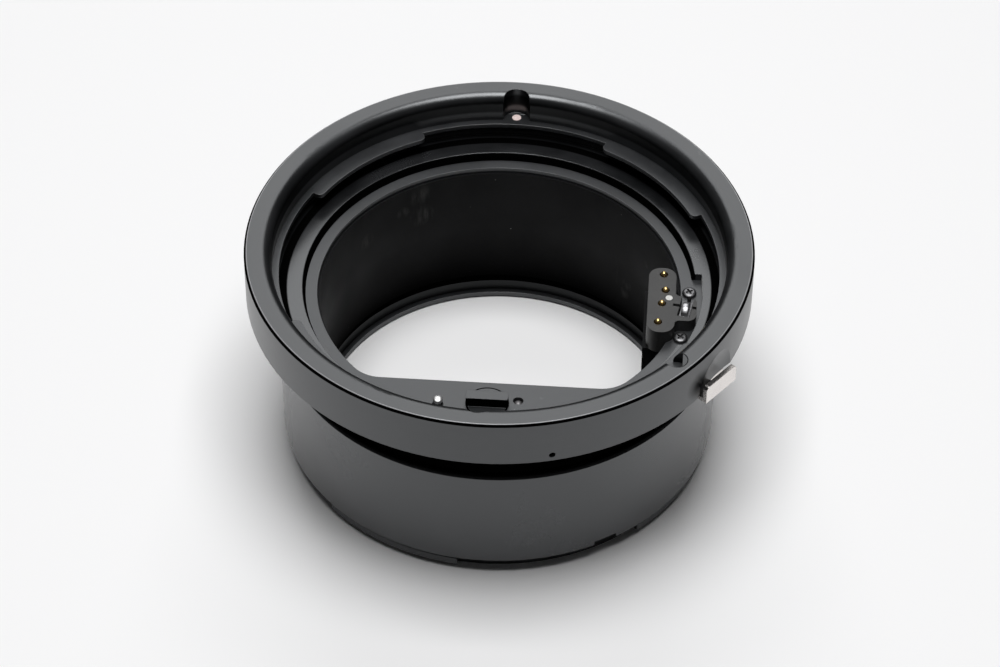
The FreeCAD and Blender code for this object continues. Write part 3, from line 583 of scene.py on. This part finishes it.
def make_screws(name, tree, places, sizes, body, node):
    """Plain mesh of the screws that a tree makes at (place, turn) pairs, instead of a CAD node."""
    mesh = bpy.data.meshes.new(name + "_places")
    mesh.from_pydata([place for place, _ in places], [], [])
    turns = mesh.attributes.new("turn", "FLOAT_VECTOR", "POINT")
    for item, (_, turn) in zip(turns.data, places):
        item.vector = turn
    maker = bpy.data.objects.new(name + "_maker", mesh)
    bpy.context.scene.collection.objects.link(maker)
    modifier = maker.modifiers.new("screws", "NODES")
    modifier.node_group = tree.tree
    for size, value in sizes.items():
        modifier[tree.sockets[size]] = value * MM
    depsgraph = bpy.context.evaluated_depsgraph_get()
    made = bpy.data.meshes.new_from_object(maker.evaluated_get(depsgraph), depsgraph=depsgraph)
    maker.modifiers.remove(modifier)
    bpy.data.objects.remove(maker)
    merged = bmesh.new()
    merged.from_mesh(made)
    bmesh.ops.remove_doubles(merged, verts=merged.verts, dist=1e-7)
    bmesh.ops.recalc_face_normals(merged, faces=merged.faces)
    merged.to_mesh(made)
    merged.free()
    piece = bpy.data.objects.new(name, made)
    bpy.context.scene.collection.objects.link(piece)
    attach(piece, body)
    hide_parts(node)
    return piece


def screw_sets():
    """All screws of the tube, each set in the place of its CAD node."""
    black = FINISHES["screw_black"].material
    low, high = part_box("mask_screws")
    head_height = 0.6
    shoulder = high[2] - (head_height + 0.15) * MM
    fronts = [((x * MM, y * MM, shoulder), (0, 0, turn)) for (x, y), turn in MASK_SCREWS]
    make_screws("mask_plate_screws", cross_screw_tree(black), fronts,
                {"Head Radius": 1.2, "Head Height": head_height, "Shank Length": (shoulder - low[2]) / MM},
                "tube", "mask_screws")
    low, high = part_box("rear_screws")
    backs = [(round_axis(REAR_SCREW_CIRCLE, degrees, low[2] / MM), (math.pi, 0, 0.3 + 0.8 * number))
             for number, degrees in enumerate(REAR_SCREW_ANGLES)]
    make_screws("rear_ring_screws", flush_screw_tree(black), backs,
                {"Shank Length": (high[2] - low[2]) / MM - 0.45}, "tube", "rear_screws")
    low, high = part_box("set_screws")
    level = (low[2] + high[2]) / 2 / MM
    sides = [(round_axis(SET_SCREW_CIRCLE, degrees, level), (0, math.pi / 2, math.radians(degrees)))
             for degrees in SET_SCREW_ANGLES]
    make_screws("collar_set_screws", set_screw_tree(black), sides,
                {"Shank Length": 2.4}, "tube", "set_screws")


# Catch stud and ground contact

def add_piece(name, made, materials, node):
    """Plain mesh piece in the place of a CAD node."""
    bmesh.ops.remove_doubles(made, verts=made.verts, dist=1e-7)
    bmesh.ops.recalc_face_normals(made, faces=made.faces)
    mesh = bpy.data.meshes.new(name)
    made.to_mesh(mesh)
    made.free()
    for material in materials:
        mesh.materials.append(material)
    piece = bpy.data.objects.new(name, mesh)
    bpy.context.scene.collection.objects.link(piece)
    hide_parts(node)
    return piece


def lathe(made, profile, centre, sides=48):
    """Closed turned shape about a standing axis, from (radius, height) points."""
    rings = []
    for radius, height in profile:
        if radius == 0:
            rings.append([made.verts.new((centre[0], centre[1], height))])
            continue
        rings.append([made.verts.new((centre[0] + radius * math.cos(2 * math.pi * i / sides),
                                      centre[1] + radius * math.sin(2 * math.pi * i / sides), height))
                      for i in range(sides)])
    for low, high in zip(rings, rings[1:]):
        for i in range(sides):
            j = (i + 1) % sides
            corners = [low[i % len(low)], low[j % len(low)], high[j % len(high)], high[i % len(high)]]
            unique = list(dict.fromkeys(corners))
            face = made.faces.new(unique)
            face.smooth = True


def stud_button():
    """Mushroom shaped catch stud: a flat domed head on a thinner neck."""
    low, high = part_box("catch_stud")
    centre = ((low[0] + high[0]) / 2, (low[1] + high[1]) / 2)
    foot = (high[0] - low[0]) / 2 - 0.01 * MM
    plate_low, plate_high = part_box("mask_plate")
    head, neck, dome = 0.83 * MM, 0.56 * MM, 0.42 * MM
    under_plate = plate_low[2] - 0.02 * MM
    profile = [(0, low[2]), (foot, low[2]), (foot, under_plate), (neck, under_plate),
               (neck, plate_high[2] + 0.6 * MM), (head * 0.97, plate_high[2] + 0.8 * MM)]
    steps = 8
    for step in range(1, steps):
        angle = math.radians(90 * step / steps)
        profile.append((head * math.cos(angle), high[2] - dome + dome * math.sin(angle)))
    profile.append((0, high[2]))
    made = bmesh.new()
    lathe(made, profile, centre)
    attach(add_piece("catch_stud_button", made, [STUD.material], "catch_stud"), "tube")


def arched_contact():
    """Sprung leaf arched over its length, on a flat foot in dark blackened steel that stands as painted
    shade for the slot round the leaf.
    """
    centre = Vector((*CONTACT_PAD_CENTRE, 0)) * MM
    turn = Matrix.Rotation(math.radians(CONTACT_PAD_TURN), 3, "Z")
    low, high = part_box("ground_contact")
    foot_top = low[2] + 0.4 * MM
    half_width, half_length, steps = 0.56 * MM, 1.48 * MM, 16
    arch, bend, round_off = 0.75 * MM, 2.4, 0.09 * MM
    made = bmesh.new()
    rows = []
    for step in range(steps + 1):
        along = 2 * step / steps - 1
        crown = high[2] - arch * abs(along) ** bend
        row = []
        for across, height in ((-1, foot_top), (-1, crown - round_off), (-0.8, crown),
                               (0.8, crown), (1, crown - round_off), (1, foot_top)):
            place = turn @ Vector((across * half_width, along * half_length, 0)) + centre
            row.append(made.verts.new((place.x, place.y, height)))
        rows.append(row)
    for first, second in zip(rows, rows[1:]):
        for i in range(5):
            made.faces.new((first[i], first[i + 1], second[i + 1], second[i])).smooth = i in (1, 2, 3)
        made.faces.new((first[5], first[0], second[0], second[5]))
    made.faces.new(rows[0])
    made.faces.new(list(reversed(rows[-1])))
    foot_half_width, foot_half_length = 0.85 * MM, 2.15 * MM
    corners = [turn @ Vector((x * foot_half_width, y * foot_half_length, 0)) + centre
               for x, y in ((-1, -1), (1, -1), (1, 1), (-1, 1))]
    foot = [[made.verts.new((c.x, c.y, level)) for c in corners]
            for level in (low[2], foot_top - 0.01 * MM)]
    sides = [made.faces.new((foot[0][i], foot[0][(i + 1) % 4], foot[1][(i + 1) % 4], foot[1][i]))
             for i in range(4)]
    sides += [made.faces.new(foot[0]), made.faces.new(foot[1])]
    # The foot's faces take the dark blackened steel: painted shade for the dark slot round the leaf.
    for face in sides:
        face.material_index = 1
    leaf = add_piece("ground_contact_leaf", made, [FINISHES["bright_steel"].material,
                                                   FINISHES["screw_black"].material],
                     "ground_contact")
    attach(leaf, "ground_contact")


# Springs

def pressed_springs():
    """Coils of the CAD springs as plain meshes in place of their nodes; the piece that presses each is
    listed, but the coils are not tied to it.
    """
    pressed_by = {"plunger_spring": "catch_plunger", "ground_spring": "ground_contact",
                  "lever_spring": "release_lever"}
    pressed_by.update({f"contact_spring_{pin}": f"contact_pin_{pin}" for pin in range(1, 5)})
    for node, body in pressed_by.items():
        made = bmesh.new()
        made.from_mesh(frame["nodes"][node].data)
        made.transform(frame["nodes"][node].matrix_world)
        coil = add_piece(node + "_coil", made, [FINISHES["spring_steel"].material], node)
        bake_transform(coil)


# Light and table

def soft_box(name, place, size, strength):
    """Even rectangular light that faces the middle of the tube."""
    aim = (0, 0, 0.03)
    data = bpy.data.lights.new(name, "AREA")
    data.shape = "RECTANGLE"
    data.size, data.size_y = size
    data.energy = strength
    lamp = bpy.data.objects.new(name, data)
    lamp.location = place
    lamp.rotation_euler = (Vector(aim) - Vector(place)).to_track_quat("-Z", "Y").to_euler()
    bpy.context.scene.collection.objects.link(lamp)


def table():
    """Plain pale table top under the tube."""
    mesh = bpy.data.meshes.new("table_top")
    reach = 6.0
    mesh.from_pydata([(-reach, -reach, 0), (reach, -reach, 0), (reach, reach, 0), (-reach, reach, 0)],
                     [], [(0, 1, 2, 3)])
    top = bpy.data.objects.new("table_top", mesh)
    bpy.context.scene.collection.objects.link(top)
    n = Nodes("table_white")
    n.set(Base_Color=(0.90, 0.90, 0.905), Roughness=0.7)
    mesh.materials.append(n.material)


def light_up():
    """Compact light overhead and a broad one behind, in a dark room."""
    world = bpy.data.worlds.new("studio")
    world.use_nodes = True
    world.node_tree.nodes["Background"].inputs["Color"].default_value = (1, 1, 1, 1)
    world.node_tree.nodes["Background"].inputs["Strength"].default_value = 0.04
    bpy.context.scene.world = world
    bpy.context.scene.view_settings.view_transform = "Standard"
    soft_box("overhead_soft_box", (0.0, -0.05, 0.95), (0.56, 0.56), 8.5)
    soft_box("back_soft_box", (-0.06, 0.75, 0.74), (0.7, 0.6), 2.75)


place_camera()
dress_frame()
screw_sets()
stud_button()
arched_contact()
pressed_springs()
table()
light_up()
